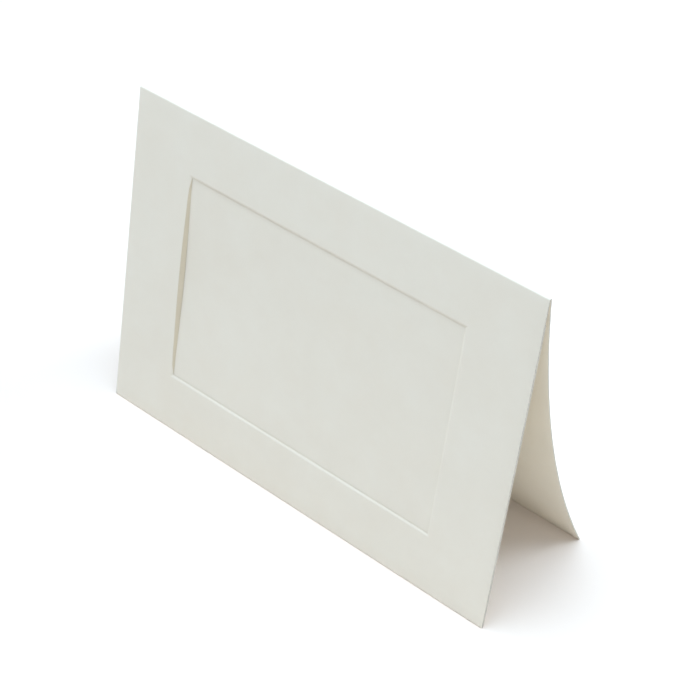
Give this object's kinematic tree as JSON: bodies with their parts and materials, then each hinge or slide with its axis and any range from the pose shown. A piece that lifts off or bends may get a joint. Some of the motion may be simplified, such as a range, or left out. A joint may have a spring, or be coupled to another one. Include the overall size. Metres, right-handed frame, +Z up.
{
  "type": "greeting card",
  "caption": "Landscape folded greeting card standing as a tent, with a bevelled window in the front leaf and a glued flap behind it that makes a photo pocket.",
  "frame": {"origin": "on the ground, under the middle of the standing card's footprint", "axes": "+Z up, +X along the crease to the right as seen from the front, +Y from the window leaf to the back leaf"},
  "size_m": [0.1778, 0.0538, 0.1237],
  "materials": {
    "card_stock": "smooth uncoated ivory card, matt"
  },
  "bodies": {
    "root": {"folded_card": "card_stock"}
  },
  "joints": []
}
